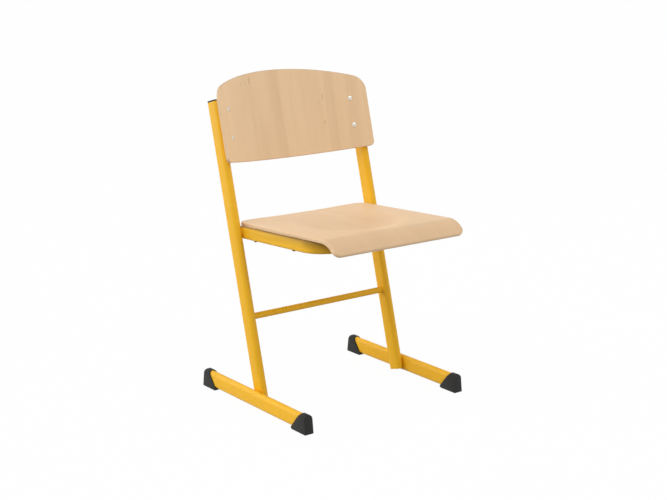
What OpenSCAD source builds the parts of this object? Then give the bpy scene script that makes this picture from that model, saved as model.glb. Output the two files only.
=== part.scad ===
// Classroom chair on two skids: a welded frame of flat-oval steel tube, a moulded
// plywood seat with a dished top and a rolled front lip, and a curved plywood backrest.
// Millimetres, +Z up, the sitter faces -Y, and left is the sitter's left, which is +X.
// The origin is on the floor, under the middle of the whole chair.

/* [Frame] */
// Clear width between the two uprights
frame_clear_w = 411; // [360:1:460]
// Depth of the flat-oval frame tube, the long way across its section
tube_d = 40; // [36:1:46]
// Width of the flat-oval frame tube
tube_w = 20; // [18:1:22]
// Wall of the frame tube
tube_wall = 2; // [1.2:0.1:3]
// Lean of the uprights from the vertical, in degrees
upright_lean = 15.5; // [12:0.5:18]
// Length of each upright tube
upright_len = 742; // [700:1:800]
// Diameter of the round crossbar between the uprights
crossbar_d = 16; // [12:1:18]
// Wall of the crossbar
crossbar_wall = 1.5; // [1:0.1:2.5]
// Height of the crossbar's axis above the floor
crossbar_height = 213.5; // [120:0.5:320]

/* [Skids and feet] */
// Distance from the front feet's ends to the point where the uprights cross the skids
skid_nose = 219; // [170:1:260]
// Distance from that crossing to the rear feet's ends
skid_tail = 214; // [170:1:260]
// Thickness of a foot's sole under the skid
sole_t = 3.7; // [2.5:0.1:8]
// Thickness of a foot above the skid
foot_top_t = 2.6; // [2:0.1:8]
// Wall of a foot beside the skid
foot_wall = 2.2; // [1.5:0.1:4]
// Depth of solid plastic between a foot's end and the skid tube
foot_end_t = 8; // [7:0.5:14]
// Length of a foot's sole along the floor
foot_len = 53; // [46:1:80]
// Rise of the lip where the sole turns up to the foot's mouth
foot_toe = 4; // [2:0.5:6]
// Lean of the foot's open mouth from the vertical, in degrees
foot_mouth_lean = 38; // [20:1:42]
// Lean of the foot's end face from the vertical, in degrees
foot_end_lean = 7; // [0:1:8]
// Radius over the top of the foot's end
foot_end_r = 7; // [3:0.5:12]

/* [Seat] */
// Height of the seat's top where its front lip starts to roll down
seat_height = 455; // [430:1:480]
// Slope of the seat down to the rear, in degrees
seat_tilt = 3; // [0:0.5:5]
// How far the lip's roll starts ahead of the point where the uprights cross the skids
seat_reach = 210; // [190:1:230]
// Length of the seat from the lip's roll to the rear edge
seat_len = 338; // [300:1:345]
// Thickness of the seat's plywood
seat_t = 9; // [7:0.5:12]
// Gap between the seat's side edge and the upright
seat_side_gap = 7.5; // [3:0.5:12]
// Radius of the seat's top surface round the front lip
lip_r = 60; // [40:1:80]
// Angle that the lip rolls through, in degrees
lip_angle = 50; // [30:1:65]
// Straight length of the lip below its roll
lip_len = 13.5; // [5:0.5:30]
// Corner radius at the lip's lower edge
lip_corner_r = 18; // [8:1:30]
// Corner radius at the seat's rear
seat_rear_r = 28; // [10:1:45]
// Depth of the dish in the seat
dish_depth = 8; // [2:0.5:12]
// Half width of the dish
dish_half_w = 145; // [110:1:150]
// Distance from the lip's roll to the front rim of the dish
dish_front = 22; // [14:1:60]
// Distance from the lip's roll to where the dish is deepest
dish_mid = 125; // [90:1:200]

/* [Seat rail] */
// Height of the flat-oval rail under the seat
rail_h = 30; // [24:1:36]
// Width of the rail
rail_w = 15; // [12:1:18]
// Wall of the rail
rail_wall = 1.5; // [1:0.1:2.5]
// Bend radius of the rail, to the middle of the tube
rail_bend_r = 62; // [45:1:90]
// How far behind the lip's roll the rail's front run lies, to the middle of the tube
rail_front = 4; // [3:0.5:20]
// How far the rail's ends stop before the rear of the uprights
rail_end_inset = 8; // [4:0.5:16]

/* [Backrest] */
// Radius of the backrest's hollow front face
back_r = 380; // [360:1:520]
// Thickness of the backrest's plywood
back_t = 8; // [6:0.5:10]
// Height of the backrest along its middle
back_h = 226; // [200:1:260]
// How far the backrest's front face reaches past the middle of each upright
back_overhang = 11; // [8:0.5:18]
// Radius of the crowned top edge, measured on the sheet laid flat
crown_r = 620; // [500:1:900]
// Upper corner radius, measured on the sheet laid flat
back_corner_r = 45; // [20:1:55]
// Lower corner radius, measured on the sheet laid flat
back_low_r = 12; // [5:0.5:20]
// How far the backrest's lower edge lies below the middle of its rivets
back_drop = 95; // [80:1:105]

/* [Back plates and rivets] */
// Thickness of the steel plate between the backrest and the upright
plate_t = 2.5; // [2:0.1:4]
// Height of each plate
plate_h = 104; // [95:1:120]
// How far a plate reaches inward past its rivets
plate_margin = 13; // [9:0.5:20]
// How far a plate reaches outward past the line where it meets the upright
plate_lap = 7; // [2:0.5:9]
// Distance from the top of the upright tube down to the middle of the plate
plate_drop = 58.5; // [56:0.5:80]
// Distance of the rivets inward from the middle of the upright
rivet_inset = 26.5; // [24:0.5:34]
// Distance between the upper and the lower rivet
rivet_pitch = 70; // [50:1:76]
// Diameter of a rivet's shank
rivet_d = 4.8; // [4:0.1:6]
// Diameter of a rivet's head
rivet_head_d = 11.5; // [9:0.5:14]
// Height of a rivet's domed head
rivet_head_t = 1.9; // [1.2:0.1:3]
// Diameter of a rivet's set tail behind the plate
rivet_tail_d = 7.5; // [6.5:0.1:9]
// Length of a rivet's set tail
rivet_tail_len = 5; // [3.5:0.5:7]
// Diameter of the broken-off mandrel inside a rivet
mandrel_d = 2.6; // [2:0.1:3]

/* [Seat lugs and screws] */
// Reach of a lug inward from the rail's middle line
lug_reach = 34; // [31:1:40]
// Width of a lug along the rail
lug_w = 26; // [20:1:36]
// Thickness of a lug
lug_t = 3; // [2:0.5:5]
// Distance of each screw inward from the rail's middle line
screw_inset = 22; // [20:0.5:24]
// Diameter of a seat screw
screw_d = 6; // [5:0.5:7]
// Diameter of a screw's pan head
screw_head_d = 11.5; // [10:0.5:14]
// Height of a screw's pan head
screw_head_t = 3.6; // [2.5:0.1:5]
// Width of the hexagon socket in the head, across its flats
screw_socket_w = 4; // [3:0.5:5]
// Diameter of the threaded insert in the plywood
insert_d = 9; // [8:0.5:10]
// Length of the threaded insert
insert_len = 6.5; // [5:0.5:6.5]

/* [Plugs and studs] */
// Thickness of the plug's rim on top of each upright
cap_t = 3.8; // [1.5:0.1:6]
// Depth of a plug's stem inside its tube
plug_stem = 14; // [8:1:25]
// Thickness of the plug's rim on each end of the rail
rail_cap_t = 2; // [1.5:0.1:4]
// Diameter of the stacking studs under the rail
stud_d = 8; // [6:0.5:10]
// Depth that a stacking stud stands out below the rail
stud_t = 2.4; // [1.5:0.1:5]
// Diameter of a stud's stem through the rail's wall
stud_stem_d = 4.5; // [3:0.5:5]

/* [Clearances] */
// Gap between pieces that rest on or face each other
rest_gap = 0.2; // [0.1:0.05:0.3]
// Radial gap round screws, rivets, inserts and stems in their holes
hole_gap = 0.1; // [0.05:0.05:0.2]

/* [Hidden] */

// Smoothness of round surfaces
$fn = 96;
// Overrun of cuts past the faces that they open
cut = 1;

left = 1;
right = -1;

yellow_steel = [0.93, 0.69, 0.17];
black_plastic = [0.17, 0.16, 0.16];
beech_ply = [0.87, 0.73, 0.57];
zinc_steel = [0.74, 0.75, 0.76];
brass = [0.75, 0.62, 0.35];

// Sideways places of the tubes
upright_x = frame_clear_w / 2 + tube_w / 2;
skid_x = upright_x + tube_w;
rail_x = frame_clear_w / 2 - rail_w / 2;
seat_half_w = frame_clear_w / 2 - seat_side_gap;

// The uprights' lower rear corners are flush with the underside of the skids
skid_axis_z = sole_t + tube_d / 2;
upright_foot_s = -tube_d / 2 * (1 - sin(upright_lean)) / cos(upright_lean);
upright_top_s = upright_foot_s + upright_len;

// The backrest's axis of curvature, behind (+) or before (-) the middle of the uprights,
// from the plate lying on the rounded front inner corner of each upright
tube_nose = tube_d / 2 - tube_w / 2;
plate_in_r = back_r + back_t + rest_gap;
plate_out_r = plate_in_r + plate_t;
weld_r = plate_out_r + rest_gap + tube_w / 2;
back_axis = -tube_nose - sqrt(weld_r * weld_r - upright_x * upright_x);
weld_angle = asin(upright_x / weld_r);
back_half_s = back_r * asin((upright_x + back_overhang) / back_r) * PI / 180;

// Heights along the leaning uprights
rivet_mid_s = upright_top_s - plate_drop;
back_low_s = rivet_mid_s - back_drop;
back_top_s = back_low_s + back_h;
rivet_x = upright_x - rivet_inset;
rivet_angle = asin(rivet_x / back_r);

// Depth of the whole chair, and the place of the crossing that centres it on the origin
lip_tip_y = -lip_r * sin(lip_angle) - lip_len * cos(lip_angle);
lip_tip_z = -lip_r * (1 - cos(lip_angle)) - lip_len * sin(lip_angle);
chair_front = -seat_reach + lip_tip_y * cos(seat_tilt) + lip_tip_z * sin(seat_tilt);
back_mid_depth = back_axis + back_r + back_t;
chair_rear = back_top_s * sin(upright_lean) + back_mid_depth * cos(upright_lean);
cross_y = -(chair_front + chair_rear) / 2;
front_end_y = cross_y - skid_nose;
rear_end_y = cross_y + skid_tail;

// The rail in the seat's own tilted frame, where the seat's top is at zero height
rail_top_z = -seat_t - rest_gap;
rail_mid_z = rail_top_z - rail_h / 2;
rail_low_z = rail_top_z - rail_h;
rail_mid_height = seat_height + rail_mid_z * cos(seat_tilt);
upright_rear_y = (rail_mid_height - skid_axis_z) * tan(upright_lean) + tube_d / 2 / cos(upright_lean);
rail_end_y = (upright_rear_y + seat_reach - rail_mid_z * sin(seat_tilt))
    / (cos(seat_tilt) + sin(seat_tilt) * tan(upright_lean)) - rail_end_inset;
rail_bend_y = rail_front + rail_bend_r;

// Places along the seat of the lugs and of the studs, as shares of the seat's length
lug_place_shares = [0.32, 0.76];
stud_place_shares = [0.306, 0.763];

// The dish: share of its half width that its sloping wall takes, and share of its depth
// that is left at the rear edge
dish_wall_share = 0.62;
dish_rear_share = 0.18;

// Columns of the backrest's sheet, closer together in its corners
back_corner_columns = 10;
back_columns = 44;

// Rows and columns of the seat's surface
corner_rows = 6;
seat_rows = 38;
seat_columns = 30;

// Flat-oval outline, w across and d long, the long way along Y
module flat_oval(w, d) {
    square([w, d - w], center = true);
    for (end = [-1, 1])
        translate([0, end * (d - w) / 2])
            circle(d = w);
}

// Section of a flat-oval tube
module flat_oval_tube(w, d, wall) {
    difference() {
        flat_oval(w, d);
        flat_oval(w - 2 * wall, d - 2 * wall);
    }
}

// Closing plug for a flat-oval tube: its rim stands on the tube's end, its stem hangs inside
module tube_plug(w, d, wall, rim_t) {
    inside = 2 * (wall + hole_gap);
    linear_extrude(rim_t)
        flat_oval(w, d);
    translate([0, 0, -plug_stem])
        linear_extrude(plug_stem + rim_t / 2)
            flat_oval(w - inside, d - inside);
}

// Frame of the leaning uprights: its origin is on the skids' middle line
module lean_frame() {
    translate([0, cross_y, skid_axis_z])
        rotate([-upright_lean, 0, 0])
            children();
}

// Frame of the seat: its origin is on the top surface, where the lip's roll starts
module seat_frame() {
    translate([0, cross_y - seat_reach, seat_height])
        rotate([-seat_tilt, 0, 0])
            children();
}

// A place on the backrest, r from its axis of curvature, +Z pointing out of its back
module on_backrest(angle, s, r) {
    lean_frame()
        translate([0, back_axis, s])
            rotate([0, 0, -angle])
                translate([0, r, 0])
                    rotate([-90, 0, 0])
                        children();
}

// The places of the four rivets
module at_rivets() {
    for (side = [left, right])
        for (step = [-1, 1])
            on_backrest(side * rivet_angle, rivet_mid_s + step * rivet_pitch / 2, back_r)
                children();
}

module upright(side) {
    color(yellow_steel)
        lean_frame()
            translate([side * upright_x, 0, upright_foot_s])
                linear_extrude(upright_len)
                    flat_oval_tube(tube_w, tube_d, tube_wall);
}

module skid(side) {
    color(yellow_steel)
        translate([side * skid_x, rear_end_y - foot_end_t, skid_axis_z])
            rotate([90, 0, 0])
                linear_extrude(skid_nose + skid_tail - 2 * foot_end_t)
                    flat_oval_tube(tube_w, tube_d, tube_wall);
}

module crossbar() {
    bar_y = cross_y + (crossbar_height - skid_axis_z) * tan(upright_lean);
    color(yellow_steel)
        translate([0, bar_y, crossbar_height])
            rotate([0, 90, 0])
                difference() {
                    cylinder(d = crossbar_d, h = frame_clear_w, center = true);
                    cylinder(d = crossbar_d - 2 * crossbar_wall, h = frame_clear_w + 2 * cut, center = true);
                }
}

// Outline of a foot from the side: y is the distance in from its end, z is height
module foot_side() {
    foot_h = sole_t + tube_d + foot_top_t;
    mouth_low = foot_len + foot_toe;
    mouth_top = mouth_low - (foot_h - foot_toe) * tan(foot_mouth_lean);
    end_top = foot_h * tan(foot_end_lean);
    arc_z = foot_h - foot_end_r;
    arc_y = arc_z * tan(foot_end_lean) + foot_end_r / cos(foot_end_lean);
    difference() {
        polygon([[0, 0], [foot_len, 0], [mouth_low, foot_toe], [mouth_top, foot_h], [end_top, foot_h]]);
        difference() {
            translate([-cut, arc_z])
                square([arc_y + cut, foot_end_r + cut]);
            translate([arc_y, arc_z])
                circle(r = foot_end_r);
        }
    }
}

// Outline of a foot from its end: straight sides under a round top
module foot_arch() {
    half_w = tube_w / 2 + foot_wall;
    foot_h = sole_t + tube_d + foot_top_t;
    translate([-half_w, 0])
        square([2 * half_w, foot_h - half_w]);
    translate([0, foot_h - half_w])
        circle(r = half_w);
}

// A foot, seen from its end, with the skid's socket running in along +Y
module foot() {
    reach = foot_len + foot_toe + cut;
    full_w = tube_w + 2 * foot_wall;
    difference() {
        intersection() {
            rotate([90, 0, 90])
                linear_extrude(full_w, center = true)
                    foot_side();
            translate([0, reach, 0])
                rotate([90, 0, 0])
                    linear_extrude(reach)
                        foot_arch();
        }
        translate([0, reach + foot_end_t - rest_gap, skid_axis_z])
            rotate([90, 0, 0])
                linear_extrude(reach)
                    flat_oval(tube_w + 2 * hole_gap, tube_d + 2 * hole_gap);
    }
}

module front_foot(side) {
    color(black_plastic)
        translate([side * skid_x, front_end_y, 0])
            foot();
}

module rear_foot(side) {
    color(black_plastic)
        translate([side * skid_x, rear_end_y, 0])
            mirror([0, 1, 0])
                foot();
}

module top_cap(side) {
    color(black_plastic)
        lean_frame()
            translate([side * upright_x, 0, upright_top_s])
                tube_plug(tube_w, tube_d, tube_wall, cap_t);
}

// One straight run of the rail, drawn from the origin along +Y
module rail_run(len) {
    translate([0, len, 0])
        rotate([90, 0, 0])
            linear_extrude(len)
                flat_oval_tube(rail_w, rail_h, rail_wall);
}

// One bend of the rail, a quarter turn about the Z axis
module rail_bend() {
    rotate_extrude(angle = 90)
        translate([rail_bend_r, 0])
            flat_oval_tube(rail_w, rail_h, rail_wall);
}

// The places of the four stacking studs, on the rail's lowest line
module at_studs() {
    seat_frame()
        for (side = [left, right])
            for (share = stud_place_shares)
                translate([side * rail_x, share * seat_len, rail_low_z])
                    children();
}

// The U of tube that carries the seat: two legs welded inside the uprights, two bends
// and a front run behind the lip
module seat_rail() {
    bend_x = rail_x - rail_bend_r;
    color(yellow_steel)
        difference() {
            seat_frame()
                translate([0, 0, rail_mid_z]) {
                    for (side = [left, right]) {
                        translate([side * rail_x, rail_bend_y, 0])
                            rail_run(rail_end_y - rail_bend_y);
                        translate([side * bend_x, rail_bend_y, 0])
                            rotate([0, 0, side == left ? -90 : 180])
                                rail_bend();
                    }
                    translate([bend_x, rail_front, 0])
                        rotate([0, 0, 90])
                            rail_run(2 * bend_x);
                }
            at_studs()
                cylinder(d = stud_stem_d + 2 * hole_gap, h = 4 * rail_wall, center = true);
        }
}

module rail_plug(side) {
    color(black_plastic)
        seat_frame()
            translate([side * rail_x, rail_end_y, rail_mid_z])
                rotate([-90, 0, 0])
                    tube_plug(rail_w, rail_h, rail_wall, rail_cap_t);
}

// Round studs that keep stacked chairs apart, pushed into the rail's underside
module stacking_studs() {
    color(black_plastic)
        difference() {
            at_studs() {
                intersection() {
                    translate([0, 0, -stud_t])
                        cylinder(d = stud_d, h = stud_t + rail_w / 4);
                    translate([0, 0, stud_d - stud_t])
                        sphere(r = stud_d);
                }
                cylinder(d = stud_stem_d, h = 3 * rail_wall);
            }
            stud_seats();
        }
}

// The rail's lower round, with a stud's stem left out, that the studs' rims are shaped to
module stud_seats() {
    round_r = rail_w / 2 + hole_gap;
    seat_frame()
        for (side = [left, right])
            for (share = stud_place_shares)
                translate([side * rail_x, share * seat_len, rail_low_z + rail_w / 2])
                    difference() {
                        rotate([90, 0, 0])
                            cylinder(r = round_r, h = stud_d + 2 * cut, center = true);
                        cylinder(d = stud_stem_d, h = rail_w + 2 * cut, center = true);
                    }
}

// The places of the four seat screws, on the seat's underside
module at_screws() {
    seat_frame()
        for (side = [left, right])
            for (share = lug_place_shares)
                translate([side * (rail_x - screw_inset), share * seat_len, -seat_t])
                    children();
}

// Steel lugs welded inside the rail, level with its top, each drilled for a seat screw
module seat_lugs() {
    color(yellow_steel)
        difference() {
            seat_frame()
                for (side = [left, right])
                    for (share = lug_place_shares)
                        difference() {
                            translate([side * (rail_x - lug_reach / 2), share * seat_len, rail_top_z - lug_t / 2])
                                cube([lug_reach, lug_w, lug_t], center = true);
                            translate([side * rail_x, share * seat_len, rail_mid_z])
                                rotate([90, 0, 0])
                                    linear_extrude(lug_w + 2 * cut, center = true)
                                        flat_oval(rail_w + 2 * rest_gap, rail_h + 2 * rest_gap + 2 * cut);
                        }
            at_screws()
                translate([0, 0, -rest_gap - lug_t - cut])
                    cylinder(d = screw_d + 4 * hole_gap, h = lug_t + 2 * cut);
        }
}

// Pan-head screws with a hexagon socket, up through the lugs into the inserts
module seat_screws() {
    head_z = -2 * rest_gap - lug_t;
    dome_r = screw_head_d * 0.9;
    color(zinc_steel)
        at_screws()
            difference() {
                union() {
                    intersection() {
                        translate([0, 0, head_z - screw_head_t])
                            cylinder(d = screw_head_d, h = screw_head_t);
                        translate([0, 0, head_z - screw_head_t + dome_r])
                            sphere(r = dome_r);
                    }
                    translate([0, 0, head_z - screw_head_t / 4])
                        cylinder(d = screw_d, h = insert_len - head_z);
                }
                translate([0, 0, head_z - screw_head_t - cut])
                    cylinder(d = screw_socket_w / cos(30), h = screw_head_t * 0.7 + cut, $fn = 6);
            }
}

// Threaded inserts pressed into the seat's underside
module seat_inserts() {
    color(brass)
        at_screws()
            difference() {
                cylinder(d = insert_d, h = insert_len);
                translate([0, 0, -cut])
                    cylinder(d = screw_d + 2 * hole_gap, h = insert_len + 2 * cut);
            }
}

// Steel plates curved to the backrest's back and welded to the uprights' front inner corners
module back_plate(side) {
    reach_in = asin((rivet_x - plate_margin) / plate_in_r);
    reach_out = weld_angle + plate_lap / plate_out_r * 180 / PI;
    wedge = 2 * plate_out_r;
    color(yellow_steel)
        difference() {
            lean_frame()
                translate([0, back_axis, rivet_mid_s - plate_h / 2])
                    linear_extrude(plate_h)
                        intersection() {
                            difference() {
                                circle(r = plate_out_r);
                                circle(r = plate_in_r);
                            }
                            polygon([
                                [0, 0],
                                [side * wedge * sin(reach_in), wedge * cos(reach_in)],
                                [side * wedge * sin(reach_out), wedge * cos(reach_out)]
                            ]);
                        }
            at_rivets()
                cylinder(d = rivet_d + 2 * hole_gap, h = back_t + 4 * plate_t);
        }
}

// Height of the backrest's crowned top edge at s along its curve from the middle
corner_s = back_half_s - back_corner_r;
crown_s = back_top_s - crown_r;
corner_rise = sqrt(pow(crown_r - back_corner_r, 2) - corner_s * corner_s);
touch_s = corner_s * crown_r / (crown_r - back_corner_r);
function arc_rise(r, s) = sqrt(max(0, r * r - s * s));
function back_top_at(s) =
    abs(s) > touch_s ? crown_s + corner_rise + arc_rise(back_corner_r, abs(s) - corner_s) :
    crown_s + arc_rise(crown_r, s);

// Height of the backrest's lower edge at s along its curve
function back_low_at(s) =
    let (in_corner = max(0, abs(s) - back_half_s + back_low_r))
        back_low_s + back_low_r - arc_rise(back_low_r, in_corner);

// Places of the sheet's upright lines along its curve
back_side_stations = [
    for (i = [0:back_corner_columns]) back_half_s - back_corner_r * (1 - sin(90 * i / back_corner_columns))
];
back_stations = [
    for (i = [back_corner_columns:-1:0]) -back_side_stations[i],
    for (i = [1:back_columns - 1]) corner_s * (2 * i / back_columns - 1),
    for (i = [0:back_corner_columns]) back_side_stations[i]
];

// A point of the backrest at s along its curve and r from its axis
function back_point(s, r, height) =
    let (turn = s / back_r * 180 / PI)
        [r * sin(turn), r * cos(turn), height];

// The backrest's curved sheet, four points on each upright line: front low, front top,
// back low and back top
module back_sheet() {
    last = len(back_stations) - 1;
    points = [
        for (s = back_stations)
            for (r = [back_r, back_r + back_t])
                for (height = [back_low_at(s), back_top_at(s)])
                    back_point(s, r, height)
    ];
    walls = [
        for (i = [0:last - 1])
            let (a = 4 * i, b = a + 4)
                each [
                    [a, a + 1, b], [b, a + 1, b + 1],
                    [a + 2, b + 2, a + 3], [b + 2, b + 3, a + 3],
                    [a + 1, a + 3, b + 1], [b + 1, a + 3, b + 3],
                    [a, b, a + 2], [b, b + 2, a + 2]
                ]
    ];
    ends = [
        [0, 2, 1], [1, 2, 3],
        [4 * last, 4 * last + 1, 4 * last + 2], [4 * last + 1, 4 * last + 3, 4 * last + 2]
    ];
    polyhedron(points, concat(walls, ends), convexity = 4);
}

module backrest_shell() {
    color(beech_ply)
        difference() {
            lean_frame()
                translate([0, back_axis, 0])
                    back_sheet();
            at_rivets()
                translate([0, 0, -cut])
                    cylinder(d = rivet_d + 2 * hole_gap, h = back_t + 2 * cut);
        }
}

// Blind rivets: a domed head on the backrest's front, a tail set behind the plate
module backrest_rivets() {
    dome_r = (rivet_head_d * rivet_head_d / 4 + rivet_head_t * rivet_head_t) / (2 * rivet_head_t);
    grip = back_t + plate_t + 3 * rest_gap;
    color(zinc_steel)
        at_rivets()
            difference() {
                union() {
                    intersection() {
                        translate([0, 0, -rest_gap - rivet_head_t])
                            cylinder(d = rivet_head_d, h = rivet_head_t);
                        translate([0, 0, dome_r - rest_gap - rivet_head_t])
                            sphere(r = dome_r);
                    }
                    translate([0, 0, -rest_gap - rivet_head_t / 4])
                        cylinder(d = rivet_d, h = grip + rivet_tail_len / 2 + rest_gap);
                    translate([0, 0, grip])
                        cylinder(d = rivet_tail_d, h = rivet_tail_len);
                }
                translate([0, 0, -rest_gap - rivet_head_t - cut])
                    cylinder(d = mandrel_d + 2 * hole_gap, h = grip + rivet_tail_len + rivet_head_t + 2 * cut);
            }
}

// Broken-off mandrels that stay inside the set rivets, each with its head behind the tail
module rivet_mandrels() {
    grip = back_t + plate_t + 3 * rest_gap;
    stub = rivet_head_t * 0.4;
    color(zinc_steel)
        at_rivets() {
            translate([0, 0, -stub])
                cylinder(d = mandrel_d, h = stub + grip + rivet_tail_len + rest_gap);
            translate([0, 0, grip + rivet_tail_len + rest_gap])
                cylinder(d = rivet_d * 0.9, h = mandrel_d / 2);
        }
}

// A step from 0 to 1 with level ends
function smooth_step(a) =
    let (q = min(1, max(0, a)))
        q * q * (3 - 2 * q);

// Depth of the dish at x across and y behind the lip's roll
function dish_at(x, y) =
    let (
        ahead = max(0, (dish_mid - y) / (dish_mid - dish_front)),
        behind = max(0, (y - dish_mid) / (seat_len - dish_mid)),
        q = sqrt(pow(x / dish_half_w, 2) + ahead * ahead)
    )
        dish_depth * smooth_step((1 - q) / dish_wall_share) * (1 - (1 - dish_rear_share) * behind);

lip_arc = lip_r * lip_angle * PI / 180;
seat_run = lip_len + lip_arc + seat_len;

// A point of the seat: x across, s along the surface from the lip's lower edge, and
// below under the top surface
function seat_point(x, s, below) =
    s < lip_len ?
        [
            x,
            -(lip_r - below) * sin(lip_angle) - (lip_len - s) * cos(lip_angle),
            (lip_r - below) * cos(lip_angle) - lip_r - (lip_len - s) * sin(lip_angle)
        ] :
    s < lip_len + lip_arc ?
        let (a = lip_angle * (1 - (s - lip_len) / lip_arc))
            [x, -(lip_r - below) * sin(a), (lip_r - below) * cos(a) - lip_r] :
        let (y = s - lip_len - lip_arc)
            [x, y, -below - dish_at(x, y)];

// Half width of the seat at s, with its corners rounded off
function corner_cut(r, s) = s < r ? r - sqrt(r * r - (r - s) * (r - s)) : 0;
function half_width_at(s) =
    seat_half_w - corner_cut(lip_corner_r, s) - corner_cut(seat_rear_r, max(0, seat_run - s));

// Places of the surface's rows along s, closer together in the corners
seat_stations = [
    for (i = [0:corner_rows - 1]) lip_corner_r * (1 - cos(90 * i / corner_rows)),
    for (i = [0:seat_rows]) lip_corner_r + (seat_run - lip_corner_r - seat_rear_r) * i / seat_rows,
    for (i = [1:corner_rows]) seat_run - seat_rear_r * (1 - sin(90 * i / corner_rows))
];

// The seat's moulded sheet, a grid of points over and a grid under, joined round the edge
module seat_sheet() {
    rows = len(seat_stations);
    cols = seat_columns + 1;
    under = rows * cols;
    points = [
        for (below = [0, seat_t])
            for (s = seat_stations)
                for (j = [0:seat_columns])
                    seat_point(half_width_at(s) * (2 * j / seat_columns - 1), s, below)
    ];
    skins = [
        for (i = [0:rows - 2])
            for (j = [0:cols - 2])
                let (a = i * cols + j, b = a + 1, c = a + cols, d = c + 1)
                    each [
                        [a, c, b], [b, c, d],
                        [under + a, under + b, under + c], [under + b, under + d, under + c]
                    ]
    ];
    sides = [
        for (i = [0:rows - 2])
            let (a = i * cols, c = a + cols, b = a + cols - 1, d = c + cols - 1)
                each [
                    [a, under + a, c], [c, under + a, under + c],
                    [b, d, under + b], [d, under + d, under + b]
                ]
    ];
    ends = [
        for (j = [0:cols - 2])
            let (a = j, b = j + 1, c = (rows - 1) * cols + j, d = c + 1)
                each [
                    [a, b, under + a], [b, under + b, under + a],
                    [c, under + c, d], [d, under + c, under + d]
                ]
    ];
    polyhedron(points, concat(skins, sides, ends), convexity = 4);
}

module seat_shell() {
    color(beech_ply)
        difference() {
            seat_frame()
                seat_sheet();
            at_screws()
                translate([0, 0, -cut])
                    cylinder(d = insert_d + 2 * hole_gap, h = insert_len + rest_gap + cut);
        }
}

upright(left);  // left_upright
upright(right);  // right_upright
skid(left);  // left_skid
skid(right);  // right_skid
crossbar();
seat_rail();
back_plate(left);  // left_back_plate
back_plate(right);  // right_back_plate
seat_lugs();
seat_shell();
backrest_shell();
front_foot(left);  // front_left_foot
front_foot(right);  // front_right_foot
rear_foot(left);  // rear_left_foot
rear_foot(right);  // rear_right_foot
top_cap(left);  // left_top_cap
top_cap(right);  // right_top_cap
rail_plug(left);  // left_rail_plug
rail_plug(right);  // right_rail_plug
backrest_rivets();
rivet_mandrels();
seat_screws();
seat_inserts();
stacking_studs();
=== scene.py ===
# %% [markdown]
# This lesson dresses a classroom chair: two leaning uprights of flat-oval steel tube on
# two skids, a pressed beech seat and a curved beech backrest. The imported model gives
# every solid its place in metres, so the first step is to load it.

# %% Load the imported chair
import math

import bmesh
import bpy
from mathutils import Matrix, Quaternion, Vector


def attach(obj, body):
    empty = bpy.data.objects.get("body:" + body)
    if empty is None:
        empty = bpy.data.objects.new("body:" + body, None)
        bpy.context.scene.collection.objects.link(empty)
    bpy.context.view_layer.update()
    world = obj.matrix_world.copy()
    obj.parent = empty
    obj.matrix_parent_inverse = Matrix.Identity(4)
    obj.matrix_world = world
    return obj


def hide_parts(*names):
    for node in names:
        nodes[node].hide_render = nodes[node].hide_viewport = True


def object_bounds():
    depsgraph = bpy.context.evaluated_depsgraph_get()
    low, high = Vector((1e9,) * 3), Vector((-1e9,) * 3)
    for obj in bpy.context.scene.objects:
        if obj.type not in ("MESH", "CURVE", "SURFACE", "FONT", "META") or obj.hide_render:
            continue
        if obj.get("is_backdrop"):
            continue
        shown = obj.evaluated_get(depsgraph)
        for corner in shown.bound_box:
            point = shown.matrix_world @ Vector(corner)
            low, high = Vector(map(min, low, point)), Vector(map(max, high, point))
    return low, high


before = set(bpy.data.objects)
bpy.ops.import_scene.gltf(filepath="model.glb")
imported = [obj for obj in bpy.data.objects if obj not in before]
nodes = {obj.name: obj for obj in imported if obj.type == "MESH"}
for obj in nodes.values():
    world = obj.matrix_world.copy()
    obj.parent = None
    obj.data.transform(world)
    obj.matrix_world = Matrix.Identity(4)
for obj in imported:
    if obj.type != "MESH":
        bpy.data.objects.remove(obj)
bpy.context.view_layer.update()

# %% [markdown]
# The boards are modelled afresh, so the numbers that place them are repeated here from
# the chair's source, in metres and radians. Two frames carry everything: the uprights
# lean back from the skids' middle line, and the seat slopes gently down to the rear.

# %% Numbers that place the boards
LEAN, TILT = math.radians(15.5), math.radians(3)
CROSS_Y, SKID_Z = 0.00706692, 0.0237
SEAT_REACH, SEAT_HEIGHT = 0.210, 0.455

seat_front = (0, CROSS_Y - SEAT_REACH, SEAT_HEIGHT)
lean_frame = Matrix.Translation((0, CROSS_Y, SKID_Z)) @ Matrix.Rotation(-LEAN, 4, "X")
seat_frame = Matrix.Translation(seat_front) @ Matrix.Rotation(-TILT, 4, "X")
print("uprights' foot", lean_frame.translation[:], "seat's front", seat_frame.translation[:])

# %% [markdown]
# The camera comes first, because every comparison with the photograph depends on it.
# It stands to the sitter's right, a little above the seat, with a long lens. Its place
# was worked out from the tubes' edges. It is turned by less than half a degree about
# its own axis, and has neither shift nor depth of field.

# %% Camera
CAMERA_SIDE = math.radians(-38.227)
CAMERA_RISE = math.radians(13.8)
CAMERA_DISTANCE = 3.2404
CAMERA_AIM = Vector((-0.00103, 0.00081, 0.36221))
CAMERA_LENS = 70.741
CAMERA_ROLL = math.radians(0.41)

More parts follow.
